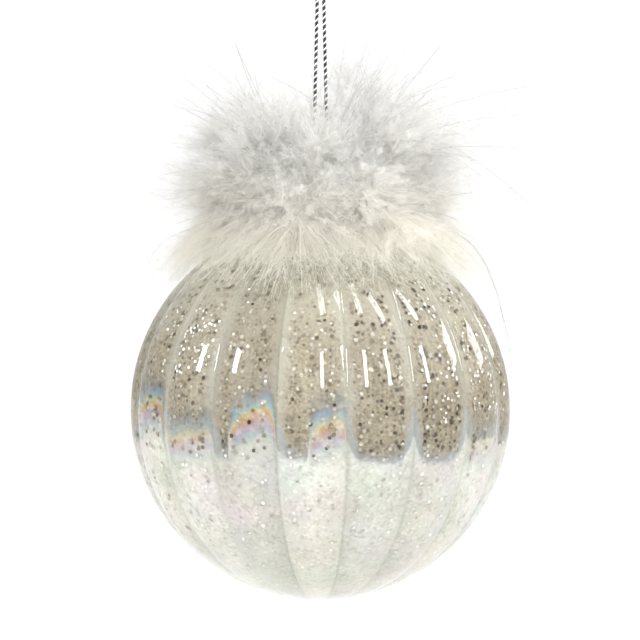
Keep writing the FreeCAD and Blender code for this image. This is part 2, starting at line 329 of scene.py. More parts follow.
def metal_material(name, colour, roughness, grain):
    n = Nodes(name)
    wear = n.noise(grain, 4.0)
    tint = n.ramp(wear, [(0.3, rgb(*[c * 0.86 for c in colour])), (0.7, rgb(*colour))])
    n.set(Base_Color=tint, Metallic=1.0, Roughness=roughness)
    n.set(Normal=n.bump(wear, 0.1, 0.0001))
    return n.material


def yarn_material():
    """Metallic yarn: a bright strand between dark ones, each finely ribbed, with painted shade in the
    grooves between the ribs.
    """
    n = Nodes("metallic_yarn")
    bright = n.add("Attribute", attribute_name="bright").outputs["Fac"]
    ribs_bump_and_groove_shade = n.add("TexWave", {"Vector": n.position(), "Scale": 1500.0, "Distortion": 2.0})
    fac = ribs_bump_and_groove_shade.outputs["Fac"]
    # The ribs' wave darkens the colour in their grooves: painted shade, on top of the bump.
    dark = n.ramp(fac, [(0.2, rgb(16, 16, 16)), (0.8, rgb(70, 70, 68))])
    light = n.ramp(fac, [(0.2, rgb(215, 215, 214)), (0.6, rgb(252, 252, 252))])
    n.set(Base_Color=n.mix(bright, dark, light), Metallic=0.35, Roughness=0.35)
    n.set(Normal=n.bump(fac, 0.3, 0.00005))
    return n.material


def plain_material(name, colour, roughness, grain, bump):
    n = Nodes(name)
    mottle = n.noise(grain, 5.0)
    n.set(
        Base_Color=n.ramp(
            mottle, [(0.3, rgb(*[c * 0.9 for c in colour])), (0.7, rgb(*colour))]
        ),
        Roughness=roughness,
        Normal=n.bump(mottle, 0.5, bump),
    )
    return n.material


# ---- the cord, its knot and its cut ends ----

CORD_ROUTE = [
    (-0.45, 0, 0),
    (-1.23, 0, -34.2),
    (-1.33, 0, -38.7),
    (1.33, 0, -38.7),
    (1.23, 0, -34.2),
    (0.45, 0, 0),
]
STRANDS = 3
STRAND_RADIUS = 0.2 * MM
LAY_LENGTH = 1.31 * MM
STEPS_EACH_TURN = 14


def route_line(name, points):
    """Closely spaced points along the smooth curve that the route's points control."""
    curve = bpy.data.curves.new(name, "CURVE")
    curve.dimensions = "3D"
    curve.resolution_u = 24
    spline = curve.splines.new("NURBS")
    spline.points.add(len(points) - 1)
    for point, place in zip(spline.points, points):
        point.co = (*[c * MM for c in place], 1)
    spline.order_u = 3
    spline.use_endpoint_u = True
    holder = bpy.data.objects.new(name, curve)
    bpy.context.scene.collection.objects.link(holder)
    graph = bpy.context.evaluated_depsgraph_get()
    mesh = bpy.data.meshes.new_from_object(holder.evaluated_get(graph))
    line = np.array([v.co for v in mesh.vertices])
    bpy.data.objects.remove(holder)
    return line


def even(line, step):
    """The same line with points at equal steps."""
    lengths = np.r_[0, np.cumsum(np.linalg.norm(np.diff(line, axis=0), axis=1))]
    places = np.linspace(0, lengths[-1], int(lengths[-1] / step) + 1)
    return np.stack([np.interp(places, lengths, line[:, i]) for i in range(3)], axis=1)


def twisted(line, offset, pitch, radius, sides=6):
    """Strands laid round a line like a rope's, and which of their points are the bright strand's."""
    step = pitch / STEPS_EACH_TURN
    line = even(line, step)
    tangent = unit(np.gradient(line, axis=0))
    across = unit(np.cross(tangent[0], (0, 1, 0.01)))
    frames = []
    for along in tangent:
        across = unit(across - along * (across @ along))
        frames.append((across, np.cross(along, across)))
    parts, bright = [], []
    for k in range(STRANDS):
        turn = 2 * math.pi * (np.arange(len(line)) * step / pitch + k / STRANDS)
        strand = [
            p + offset * (math.cos(a) * u + math.sin(a) * v)
            for p, a, (u, v) in zip(line, turn, frames)
        ]
        parts.append(tube(strand, radius, sides))
        bright.append(np.full(len(parts[-1][0]), float(k == 0)))
    return *join(parts), np.concatenate(bright)


def yarn_piece(name, rope, replaces):
    points, faces, bright = rope
    obj = piece(name, points, [faces], YARN, "cord", replaces)
    paint_points(obj, "bright", bright)
    return obj


def knot_rope():
    """A small round knot where the CAD model has its knot."""
    angle = np.linspace(0, 2 * math.pi, 90)
    middle = (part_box("cord_knot")[0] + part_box("cord_knot")[1]) / 2
    loops = [
        np.sin(angle) + 2 * np.sin(2 * angle),
        -np.sin(3 * angle) * 0.9,
        np.cos(angle) - 2 * np.cos(2 * angle),
    ]
    return twisted(
        np.array(middle) + np.stack(loops, axis=1) * 0.34 * MM, 0.16 * MM, 1.2 * MM, 0.2 * MM
    )


def tail_rope(side):
    """One of the two cut ends above the knot."""
    low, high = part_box("cord_tails")
    foot = np.array((side * 0.45 * MM, 0, low.z + 0.2 * MM))
    tip = np.array((side * high.x * 0.78, 0, high.z - 0.2 * MM))
    bend = (foot + tip) / 2 + np.array((-side * 0.15 * MM, 0.2 * MM, 0))
    t = np.linspace(0, 1, 20)[:, None]
    line = foot * (1 - t) ** 2 + bend * 2 * t * (1 - t) + tip * t**2
    return twisted(line, 0.17 * MM, LAY_LENGTH, 0.18 * MM)


def make_cord():
    line = even(route_line("cord_route", CORD_ROUTE), 0.3 * MM)
    rope = twisted(line, CORD / 2 - STRAND_RADIUS, LAY_LENGTH, STRAND_RADIUS)
    cord = yarn_piece("metallic_cord", rope, ["hanging_cord"])
    knot = yarn_piece("cord_overhand_knot", knot_rope(), ["cord_knot"])
    ropes = [tail_rope(-1), tail_rope(1)]
    points, faces = join([rope[:2] for rope in ropes])
    bright = np.concatenate([rope[2] for rope in ropes])
    ends = yarn_piece("cord_cut_ends", (points, faces, bright), ["cord_tails"])


YARN = yarn_material()
make_cord()


# ---- the glass ball ----


def lobed(elevation, share):
    """How far out and how far sideways the fluted surface is; share is -1 to 1 across a flute."""
    ring = BALL - FLUTE_RADIUS
    slope = np.tan(share * math.pi / FLUTES) * np.cos(elevation)
    lean = np.arctan(slope) + np.arcsin(
        slope * ring / (FLUTE_RADIUS * np.sqrt(1 + slope**2))
    )
    out = ring + FLUTE_RADIUS * np.cos(lean)
    side = FLUTE_RADIUS * np.sin(lean)
    return out, side


def fluted_mesh():
    """Points of the fluted glass row by row, how near each is to a crease, and the row's length."""
    per_flute, rows = 22, 190
    lowest, highest = math.radians(-86.5), math.radians(79.5)
    elevation = np.linspace(lowest, highest, rows)[:, None]
    share = np.tile(np.linspace(-1, 1, per_flute, endpoint=False), FLUTES)[None, :]
    flute = np.repeat(np.arange(FLUTES), per_flute)[None, :]
    out, side = lobed(elevation, share)
    turn = np.radians(FLUTE_TURN + flute * 360 / FLUTES)
    flat = out * np.cos(elevation)
    x = flat * np.cos(turn) - side * np.sin(turn)
    y = flat * np.sin(turn) + side * np.cos(turn)
    z = out * np.sin(elevation) + CENTRE + 0 * turn
    points = np.stack([x, y, z], axis=-1).reshape(-1, 3)
    crease = np.clip((np.abs(share) - 0.86) / 0.14, 0, 1) ** 3
    crease = np.broadcast_to(crease, out.shape).ravel()
    return points, crease, FLUTES * per_flute


def make_glass():
    """The fluted ball, closed below by its pip and above by the neck and its bore."""
    points, crease, around = fluted_mesh()
    rows = len(points) // around
    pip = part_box("glass_ball")[0].z
    neck_low = points[-around:, 2].mean()
    neck_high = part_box("glass_ball")[1].z
    turn = np.arctan2(points[:around, 1], points[:around, 0])

    def ring(radius, height):
        flat = radius * MM * np.stack([np.cos(turn), np.sin(turn)], axis=1)
        return np.column_stack([flat, np.full(around, height)])

    neck = [
        (7.4, neck_low + 0.6 * MM),
        (7.3, neck_low + 2.0 * MM),
        (7.3, neck_high - 0.3 * MM),
        (7.0, neck_high),
        (5.9, neck_high),
        (5.6, neck_high - 0.3 * MM),
        (5.6, neck_low),
    ]
    under = [(0.02, pip), (1.4, pip + 0.05 * MM)]
    rings = [ring(*r) for r in under] + [points] + [ring(*r) for r in neck]
    all_points = np.concatenate(rings)
    faces = grid_faces(rows + len(under) + len(neck), around)
    ball = piece(
        "fluted_glass_ball", all_points, [faces], glass_material(), "ball", ["glass_ball"]
    )
    before, after = np.zeros(len(under) * around), np.zeros(len(neck) * around)
    paint_points(ball, "crease", np.concatenate([before, crease, after]))


# ---- the glitter and the frost inside the glass, with painted reflections and shade ----

# For each flute in turn from FLUTE_TURN: how strongly its iridescent arch shows, a painted reflection of
# the horizon; where the arch starts from -1 to 1 across the flute; and how light its paint is, painted
# light for what the glass of that flute reflects and bends.
ARCHES = [0.1, 0.8, 0.1, 0.6, 0.9, 0.1, 0.3, 0.8, 0.1, 1.0, 0.5, 1.0, 0.76, 0.0, 0.0, 0.3, 0.1]
STARTS = [-1, -0.4, -1, -0.2, -1, -1, -0.6, -0.3, -1, -1, -1, -0.47, -0.12, -1, -1, -1, -1]
PAINTED_FLUTE_LIGHT = [0.5, 0.6, 0.4, 0.7, 0.5, 0.3, 0.6, 0.5, 0.7, 0.9, 0.65, 0.0, 0.75, 0.25, 0.15, 0.6, 0.5]
# How far the frost's edge, drawn along the painted reflection of the horizon, rises in a full arch and at
# a crease, and dips in a plain flute.
ARCH_RISE = 10.61 * MM
CREASE_RISE = 5.5 * MM
FLUTE_DIP = 1.2 * MM


def coat_values(turn, height):
    """What the paint needs to know at points of the lining: place across the flute, and the edge."""
    steps = (np.degrees(turn) - FLUTE_TURN) * FLUTES / 360 + 0.5
    which = np.floor(steps).astype(int) % FLUTES
    across = 2 * (steps - np.floor(steps)) - 1
    arch, start = np.array(ARCHES)[which], np.array(STARTS)[which]
    along = np.clip((across - start) / (1 - start), 0, 1)
    # The edge rises in arches and at the creases as a painted reflection of the horizon on each flute.
    hump = along**0.26 * (1 - along**16) * arch * ARCH_RISE
    hollow = (np.abs(across) ** 5 * CREASE_RISE - FLUTE_DIP) * (1 - arch)
    edge = hump + hollow
    return {
        "across": np.abs(across),
        "arch": np.minimum(arch * 1.3, 1) * np.clip(along / 0.12, 0, 1),
        "tone": np.array(PAINTED_FLUTE_LIGHT)[which],
        "above": height - (SPLIT + edge),
    }


def attribute(n, name):
    return n.add("Attribute", attribute_name=name).outputs["Fac"]


def span(n, value, low, high):
    """0 below low and 1 above high; the two may be swapped."""
    return n.add("MapRange", {"Value": value, "From Min": low, "From Max": high}).outputs[0]


def speckle(n, cell, tones):
    """Round specks of random tone, each soft at its rim."""
    cells = n.add("TexVoronoi", {"Vector": n.position(), "Scale": 1 / cell})
    pick = n.add("SeparateColor", {"Color": cells.outputs["Color"]}).outputs["Red"]
    return n.ramp(pick, tones, "CONSTANT"), cells.outputs["Distance"]


def glitter_colour(n, across, tone):
    """Champagne glitter with painted light: greyer and lighter beside the creases, lighter towards the
    top, and lighter or darker flute by flute.
    """
    specks, distance = speckle(
        n, 0.85 * MM,
        [(0.0, rgb(86, 76, 57)), (0.16, rgb(112, 103, 82)), (0.42, rgb(133, 125, 104)),
         (0.7, rgb(144, 136, 117)), (0.94, rgb(177, 173, 157))],
    )
    ground = n.ramp(n.noise(110.0, 5.0), [(0.3, rgb(128, 120, 100)), (0.7, rgb(147, 140, 120))])
    round_speck = span(n, distance, 0.52, 0.3)
    colour = n.mix(round_speck, ground, specks)
    grains = [(0.0, (0.82, 0.8, 0.77)), (0.5, (1, 1, 1)), (0.85, (1.1, 1.1, 1.08))]
    fine, _ = speckle(n, 0.4 * MM, grains)
    colour = n.mix(1.0, colour, fine, "MULTIPLY")
    # Greyer and lighter beside the creases: a painted glow for the light that the glass bends there.
    edge = n.math("ADD", across, n.math("MULTIPLY_ADD", n.noise(160.0, 4.0), 0.5, -0.25))
    painted_light_haze = n.math("MULTIPLY", span(n, edge, 0.62, 0.92), 0.62)
    colour = n.mix(painted_light_haze, colour, rgba(152, 150, 139))
    # Lighter towards the top: painted light against the shade of the collar.
    height = n.add("SeparateXYZ", {"Vector": n.position()}).outputs["Z"]
    painted_top_light = n.math("MULTIPLY", span(n, height, CENTRE + 15 * MM, CENTRE + 31 * MM), 0.8)
    colour = n.mix(painted_top_light, colour, rgba(174, 172, 159))
    # Each flute lighter or darker by its tone: painted light for what its glass reflects and bends.
    shade = n.ramp(tone, [(0.0, (0.84, 0.82, 0.79)), (1.0, (1.09, 1.09, 1.08))])
    return n.mix(1.0, colour, shade, "MULTIPLY"), distance


def frost_colour(n, across, tone):
    """Pearl frost with faint pastel clouds, and painted light: lighter down each flute's middle, darker at
    the creases and the bottom, and lighter or darker flute by flute.
    """
    hue = n.add("TexNoise", {"Vector": n.position(), "Scale": 75.0, "Detail": 3.0}).outputs["Color"]
    ground = n.ramp(
        n.noise(95.0, 5.0, roughness=0.65),
        [(0.25, rgb(162, 161, 152)), (0.5, rgb(178, 178, 170)), (0.72, rgb(190, 189, 182))],
    )
    colour = n.mix(0.13, ground, hue, "OVERLAY")
    # Lighter down the middle of each flute and darker towards its creases: a painted reflection of a broad
    # lamp.
    tones = [(0.0, (1.06, 1.06, 1.06)), (0.5, (1.01, 1.01, 1.01)), (0.95, (0.94, 0.94, 0.93))]
    glow = n.ramp(across, tones)
    colour = n.mix(1.0, colour, glow, "MULTIPLY")
    fine, _ = speckle(
        n, 0.6 * MM,
        [(0.0, (0.86, 0.85, 0.83)), (0.16, (0.96, 0.96, 0.95)), (0.5, (1, 1, 1)),
         (0.8, (1.06, 1.06, 1.06)), (0.94, (1.14, 1.13, 1.12))],
    )
    colour = n.mix(1.0, colour, fine, "MULTIPLY")
    # A darker line along each crease: painted shade.
    line = n.math("MULTIPLY", span(n, across, 0.9, 0.99), 0.4)
    colour = n.mix(line, colour, rgba(162, 162, 155))
    # Darker and warmer towards the bottom: painted shade on the ball's underside.
    height = n.add("SeparateXYZ", {"Vector": n.position()}).outputs["Z"]
    low = n.math("MULTIPLY", span(n, height, CENTRE - 18 * MM, CENTRE - 37 * MM), 0.8)
    colour = n.mix(low, colour, n.mix(1.0, colour, rgba(232, 233, 219), "MULTIPLY"))
    # Each flute lighter or darker by its tone: painted light for what its glass reflects and bends.
    shade = n.ramp(tone, [(0.0, (0.9, 0.89, 0.88)), (1.0, (1.11, 1.11, 1.09))])
    return n.mix(1.0, colour, shade, "MULTIPLY")


# The painted reflection of the horizon as an iridescent band, from the frost below to the glitter above,
# over a band this far each way from their edge.
PAINTED_HORIZON_RAINBOW = [
    (0.0, rgb(160, 165, 154)),
    (0.12, rgb(142, 155, 141)),
    (0.23, rgb(133, 141, 148)),
    (0.33, rgb(142, 127, 137)),
    (0.43, rgb(152, 117, 76)),
    (0.49, rgb(152, 144, 98)),
    (0.54, rgb(130, 147, 138)),
    (0.62, rgb(106, 124, 137)),
    (0.73, rgb(97, 99, 98)),
    (1.0, rgb(112, 106, 92)),
]
BAND = 8 * MM


def glitter_frost_and_painted_horizon():
    """Champagne glitter above and pearl frost below, the frost partly a painted reflection of the pale
    floor, and between them a painted reflection of the horizon with an iridescent band.
    """
    n = Nodes("glitter_frost_painted_horizon")
    across, arch = attribute(n, "across"), attribute(n, "arch")
    tone, above = attribute(n, "tone"), attribute(n, "above")
    ragged = n.math("MULTIPLY_ADD", n.noise(900.0, 4.0), 2.6 * MM, -1.3 * MM)
    drift = n.math("MULTIPLY_ADD", n.noise(150.0, 2.0), 3.0 * MM, -1.5 * MM)
    above = n.math("ADD", above, n.math("ADD", ragged, drift))
    glitter, distance = glitter_colour(n, across, tone)
    # Frost below the edge and glitter above it: the lining's two coats, the pale frost partly a painted
    # reflection of the floor.
    base = n.mix(span(n, above, -0.5 * MM, 0.5 * MM), frost_colour(n, across, tone), glitter)
    # An iridescent band along the edge, strongest in the arches: painted reflection of the horizon.
    horizon_rainbow = n.ramp(span(n, above, -BAND, BAND), PAINTED_HORIZON_RAINBOW)
    fade = n.math("MULTIPLY", span(n, above, BAND, BAND * 0.4), span(n, above, -BAND, -BAND * 0.6))
    inside = n.math("MULTIPLY", span(n, across, 1.0, 0.9), span(n, n.noise(420.0, 3.0), 0.25, 0.55))
    share = n.math("MULTIPLY", n.math("MULTIPLY", fade, arch), n.math("MULTIPLY", inside, 0.95))
    colour = n.mix(share, base, horizon_rainbow)
    # A blue-grey haze just above the edge, wider at the creases and fainter in the arches: painted
    # reflection of the horizon.
    rise = n.math("MULTIPLY", span(n, across, 0.55, 0.95), -4.5 * MM)
    top = span(n, n.math("ADD", above, rise), 2.6 * MM, 0.6 * MM)
    painted_light_haze = n.math("MULTIPLY", top, span(n, above, -1.2 * MM, 0.0))
    painted_light_haze = n.math("MULTIPLY", painted_light_haze, n.math("MULTIPLY_ADD", arch, -0.5, 0.5))
    n.set(
        Base_Color=n.mix(painted_light_haze, colour, rgba(130, 140, 146)),
        Roughness=0.45,
        Normal=n.bump(distance, 0.35, 0.0002),
    )
    return n.material


def lining(low, high):
    """The lining between two heights above the ball's centre, in columns that follow the flutes."""
    rows, per_flute = 150, 40
    columns = FLUTES * per_flute
    elevation = np.arcsin(np.linspace(low / COAT, high / COAT, rows))[:, None]
    first = math.radians(FLUTE_TURN - 180 / FLUTES)
    turn = first + 2 * math.pi * (np.arange(columns) + 0.5)[None, :] / columns
    x = COAT * np.cos(elevation) * np.cos(turn)
    y = COAT * np.cos(elevation) * np.sin(turn)
    z = COAT * np.sin(elevation) + CENTRE + 0 * turn
    points = np.stack([x, y, z], axis=-1).reshape(-1, 3)
    return points, grid_faces(rows, columns), (turn + 0 * elevation).ravel()


def make_coats():
    """The lining in two bands, slightly rough, that meet where the CAD model's coats do."""
    material = glitter_frost_and_painted_horizon()
    bands = {
        "glitter_lining": (SPLIT - CENTRE, 37.0 * MM, "glitter", "glitter_coat"),
        "pearl_lining": (-COAT * 0.9999, SPLIT - CENTRE, "pearl", "pearl_coat"),
    }
    for name, (low, high, slot, node) in bands.items():
        points, faces, turn = lining(low, high)
        grain = RNG.normal(0, 0.03 * MM, len(points))[:, None] - 0.08 * MM
        out = unit(points - (0, 0, CENTRE))
        obj = piece(name, points + out * grain, [faces], material, "ball", [node])
        for key, values in coat_values(turn, points[:, 2]).items():
            paint_points(obj, key, values)


# A flake at a crease moves this many degrees away from it, and one inside a flute less.
CREASE_SHIFT = 4.0


def make_flakes(name, count, low, high, tones, cluster=None, largest=0.5):
    """Hexagonal flakes just outside the coat, fewer in its creases, each with its tilt and tone.

    A cluster is a direction, its spread, and the share of the flakes that gather there. The
    largest flakes have this radius in millimetres.
    """
    height = RNG.uniform(low, high, count)
    turn = RNG.uniform(0, 2 * math.pi, count)
    if cluster:
        middle, width, share = cluster
        chosen = RNG.random(count) < share
        turn[chosen] = np.radians(RNG.normal(middle, width, chosen.sum()))
    steps = (np.degrees(turn) - FLUTE_TURN) * FLUTES / 360
    turn -= np.radians(CREASE_SHIFT * (2 * (steps - np.round(steps))) ** 3)
    flat = np.sqrt(COAT**2 - height**2)
    out = np.stack([flat * np.cos(turn), flat * np.sin(turn), height], axis=1) / COAT
    lean = unit(out + RNG.normal(0, 0.16, (count, 3)))
    across = unit(np.cross(lean, RNG.normal(0, 1, (count, 3))))
    other = np.cross(lean, across)
    size = RNG.uniform(0.68, 1.0, count) * largest * MM
    angle = np.arange(6) * math.pi / 3
    rim = (
        np.cos(angle)[None, :, None] * across[:, None, :]
        + np.sin(angle)[None, :, None] * other[:, None, :]
    ) * size[:, None, None]
    middle = out * (COAT + RNG.uniform(0.02, 0.22, count) * MM)[:, None]
    points = (middle[:, None, :] + rim).reshape(-1, 3) + (0, 0, CENTRE)
    faces = np.arange(count * 6).reshape(-1, 6)
    obj = piece(name, points, [faces], FLAKE, "ball", smooth=False)
    chosen = np.array([rgba(*tones[i]) for i in RNG.integers(0, len(tones), count)])
    tone = obj.data.attributes.new("tone", "FLOAT_COLOR", "POINT")
    tone.data.foreach_set("color", np.repeat(chosen, 6, axis=0).ravel())


FLAKE = flake_material()
make_glass()
make_coats()
make_flakes(
    "champagne_flakes", 2000, -6 * MM, 33 * MM,
    [(168, 162, 147), (147, 139, 121), (131, 122, 103), (113, 104, 85), (162, 157, 144)],
)
make_flakes(
    "dark_flakes", 210, -5 * MM, 26 * MM,
    [(66, 60, 47), (50, 45, 36), (88, 80, 64)], (-60, 15, 0.55),
)
# White flakes, most of them gathered where the lamps glint on the glitter: painted glints.
make_flakes(
    "glint_painted_flakes", 300, 0 * MM, 33 * MM,
    [(255, 255, 252), (222, 220, 212), (196, 193, 182)], (-34, 13, 0.6), 0.36,
)
make_flakes(
    "left_glint_painted_flakes", 80, 9 * MM, 22 * MM,
    [(255, 255, 252), (222, 220, 212)], (221, 9, 1.0), 0.36,
)

PEARLS = [(196, 196, 187), (182, 180, 170), (226, 226, 220), (164, 160, 151), (200, 191, 188)]
make_flakes("pearl_flakes", 750, -24 * MM, -5 * MM, PEARLS, largest=0.42)
make_flakes("low_pearl_flakes", 260, -37 * MM, -24 * MM, PEARLS, largest=0.34)


# ---- the feathers ----
# Their points are worked out in millimetres from the ball's centre. Each plume is a core of
# packed down, feathers with barbs that have side hairs (barbules), long barbs that fall over
# the ball's shoulder, and wisps. No barb reaches farther from the axis than FARTHEST or higher
# than HIGHEST.

STEM_STEPS = 10
BARB_STEPS = 7
RING_HEIGHT = 44.0
FEATHERS, BARBS_EACH, BARBULES_EACH = 26, 56, 54
FALLING = 640
# Tufts of wisps, the barbs of each, and the barbules of each barb.
TUFTS, TUFT_BARBS, TUFT_BARBULES = 19, 4, 54
CORE_ROWS, CORE_COLUMNS = 14, 22
CORE_SIZE, CORE_MIDDLE = (4.8, 6.2, 5.2), (16.5, 0, 46.5)
CORE_BARBS = 330
# The first feathers of each plume lie along its CAD quill.
QUILLED, QUILL_TILT, QUILL_LENGTH, QUILL_HEIGHT = 3, 42, 17.5, 45.4
FARTHEST, HIGHEST = 49.0, 78.0
# How many single long barbs hang beside the ball from a plume.
FLYAWAYS = {"left": 3, "right": 2, "back_left": 2, "back_right": 1}
# Where the collar is tied in front: from the ball's centre, degrees down from the axis, direction.
TIE = (47.4, 30.0, 260.6)
TIED = 380
# Half widths of a strand at its root and tip, its longest barbule, and a barbule's half width.
BARB = (0.04, 0.014, 2.6, 0.017)
WISP = (0.08, 0.035, 2.0, 0.034)


def ribbons(lines, widths, facing):
    """Flat tapering strips along many lines at once, each square to a facing direction."""
    count, steps = lines.shape[:2]
    tangent = unit(np.gradient(lines, axis=1))
    side = unit(np.cross(tangent, facing)) * widths
    points = np.stack([lines - side, lines + side], axis=2).reshape(-1, 3)
    i = (np.arange(count)[:, None] * steps + np.arange(steps - 1)[None, :]).ravel() * 2
    return points, np.stack([i, i + 1, i + 3, i + 2], axis=1)


def directions(turn, climb):
    """Unit vectors from directions about the axis and climbs above level, in radians."""
    return np.stack(
        [np.cos(climb) * np.cos(turn), np.cos(climb) * np.sin(turn), np.sin(climb)], axis=-1
    )


def reach_of(direction, reach, top):
    """How far the fluff reaches from the collar in each direction."""
    flat = np.hypot(direction[:, 0], direction[:, 1])
    out = (reach - 10.0) / np.maximum(flat, 1e-3)
    up = (top - RING_HEIGHT) / np.maximum(direction[:, 2], 1e-3)
    return (out**-3.0 + up**-3.0) ** (-1 / 3)


def stems(turn, reach, top, count, rng):
    """The stems of a plume's feathers, from the collar outwards, the low ones drooping."""
    around = np.radians(turn + rng.uniform(-26, 26, count))
    climb = np.radians(rng.uniform(-12, 82, count))
    direction = directions(around, climb)
    length = np.minimum(reach_of(direction, reach, top), 27) * rng.uniform(0.5, 0.95, count)
    root = np.stack(
        [10.4 * np.cos(around), 10.4 * np.sin(around), RING_HEIGHT + rng.uniform(-1, 2, count)], 1
    )
    t = np.linspace(0, 1, STEM_STEPS)[None, :, None]
    curl = rng.normal(0, 0.2, (count, 3))
    curl[:, 2] -= 0.35 * np.cos(climb) ** 4
    direction[:QUILLED] = directions(np.radians(turn), np.radians(QUILL_TILT))
    length[:QUILLED], root[:QUILLED, 2], curl[:QUILLED] = QUILL_LENGTH, QUILL_HEIGHT, 0
    root[:QUILLED, :2] = directions(np.radians(turn), 0.0)[:2] * 10.2
    return root[:, None] + length[:, None, None] * (t * direction[:, None] + t**2 * curl[:, None])


def on_lines(lines, count_each, rng, start=0.04, power=0.8):
    """Random places along many lines, and the line's direction at each."""
    owner = np.repeat(np.arange(len(lines)), count_each)
    place = rng.uniform(start, 1.0, len(owner)) ** power * (lines.shape[1] - 1.001)
    i = place.astype(int)
    share = (place - i)[:, None]
    root = lines[owner, i] * (1 - share) + lines[owner, i + 1] * share
    return root, unit(lines[owner, i + 1] - lines[owner, i]), owner


def barbs_on(lines, rng):
    """Barbs along both sides of each stem, leaning forward and curling."""
    root, along, _ = on_lines(lines, BARBS_EACH, rng)
    count = len(root)
    side = unit(np.cross(along, rng.normal(0, 1, (count, 3))))
    lean = np.radians(rng.uniform(25, 75, count))[:, None]
    start = along * np.cos(lean) + side * np.sin(lean)
    length = rng.uniform(4, 10, count)[:, None, None]
    t = np.linspace(0, 1, BARB_STEPS)[None, :, None]
    curl = (rng.normal(0, 0.3, (count, 3)) + along * 0.3)[:, None]
    return root[:, None] + length * (t * start[:, None] + t**2 * curl)


def barbules_on(barbs, count_each, longest, half_width, rng):
    """Downy side hairs of every barb, one thin triangle each."""
    root, along, _ = on_lines(barbs, count_each, rng, 0.06, 1.0)
    side = unit(np.cross(along, rng.normal(0, 1, (len(root), 3))))
    length = rng.uniform(0.3, 1.0, len(root))[:, None] * longest
    tip = root + (along * 0.5 + side) * length
    width = unit(np.cross(side, along)) * half_width
    return np.stack([root - width, root + width, tip], axis=1)


def clear_of_parts(lines):
    """Which lines keep out of the glass, the cord's swing, the clip, the cap and the far air."""
    x, y, z = lines[..., 0], lines[..., 1], lines[..., 2]
    out = np.hypot(x, y)
    in_glass = np.hypot(out, z) < 40.7
    swing = (np.abs(y) < 1.3) & (z > 48) & (np.abs(x) < 3.0 + 0.42 * np.maximum(z - 54, 0))
    in_clip = (out < 5.0) & (z > 46) & (z < 61)
    in_cap = (out < 8.6) & (z < 49.5)
    too_far = (out > FARTHEST) | (z > HIGHEST)
    return ~(in_glass | swing | in_clip | in_cap | too_far).any(axis=1)


def falling(turn, count, rng):
    """Long barbs that fall from the collar over the ball's shoulder."""
    around = np.radians(turn + rng.uniform(-28, 28, count))[:, None]
    t = np.linspace(0, 1, BARB_STEPS)[None, :]
    start = np.radians(rng.uniform(13, 27, count))[:, None]
    long = np.radians(rng.uniform(9, 28, count))[:, None]
    lift = rng.uniform(0.6, 5.0, count)[:, None] + rng.normal(0.3, 1.6, count)[:, None] * t
    drift = rng.normal(0, 0.2, count)[:, None] * t**1.5
    radius = 40.6 + np.maximum(lift, 0.4) + 2.5 * (1 - t) ** 2
    angle = start + t * long
    flat = radius * np.sin(angle)
    return np.stack(
        [flat * np.cos(around + drift), flat * np.sin(around + drift), radius * np.cos(angle)], 2
    )


def tufts(turn, reach, top, rng):
    """Tufts of long wisps that fan and curl out of the fluff."""
    around = np.radians(turn + rng.uniform(-24, 24, TUFTS))
    middle = directions(around, np.radians(rng.uniform(-8, 78, TUFTS)))
    bend = rng.normal(0, 0.38, (TUFTS, 3)) - (0, 0, 0.15)
    long = rng.uniform(0.9, 1.75, (TUFTS, 1))
    middle, bend, long = (np.repeat(each, TUFT_BARBS, axis=0) for each in (middle, bend, long))
    direction = unit(middle - 0.35 * bend + rng.normal(0, 0.12, middle.shape))
    far = reach_of(direction, reach, top)[:, None]
    root = middle * 0.5 * far + (0, 0, RING_HEIGHT)
    t = np.linspace(0, 1, BARB_STEPS)[None, :, None]
    curl = (bend + rng.normal(0, 0.16, bend.shape))[:, None]
    step = t * direction[:, None] + t**2 * curl
    return root[:, None] + (far * long * rng.uniform(0.7, 1.0, long.shape))[:, None] * step


def flyaways(turn, count, rng):
    """Single long barbs that arch outwards and hang beside the ball."""
    around = np.radians(turn + rng.uniform(-20, 20, count))
    out = directions(around, 0 * around)
    t = np.linspace(0, 1, BARB_STEPS)[None, :, None]
    spread = rng.uniform(9, 18, (count, 1, 1))
    fall = rng.uniform(8, 30, (count, 1, 1)) * np.array((0, 0, 1))
    start = out * 25 + (0, 0, 38)
    return start[:, None] + t * spread * out[:, None] * (1.5 - 0.5 * t) - t**2 * fall


def tied_barbs(rng):
    """Barbs that spread from the collar's tie at the front, most of them down over the ball."""
    distance, down, turn = TIE
    heading = rng.normal(0, 1.1, TIED)[:, None]
    long = rng.uniform(5, 27, TIED)[:, None] * (0.65 + 0.35 * np.cos(heading))
    t = np.linspace(0, 1, BARB_STEPS)[None, :]
    polar = np.radians(down + long * np.cos(heading) * t)
    side = long * np.sin(heading) * t + rng.normal(0, 1.5, (TIED, 1)) * t**2
    around = np.radians(turn + side / np.sin(np.radians(38)))
    end = 42.6 + (1 - np.cos(heading)) * 5.5 + rng.uniform(-1, 3, (TIED, 1))
    bulge = rng.uniform(0, 3.5, (TIED, 1)) * np.sin(t * math.pi)
    radius = distance + (end - distance) * t**0.8 + bulge
    flat = radius * np.sin(polar)
    return np.stack([flat * np.cos(around), flat * np.sin(around), radius * np.cos(polar)], 2)


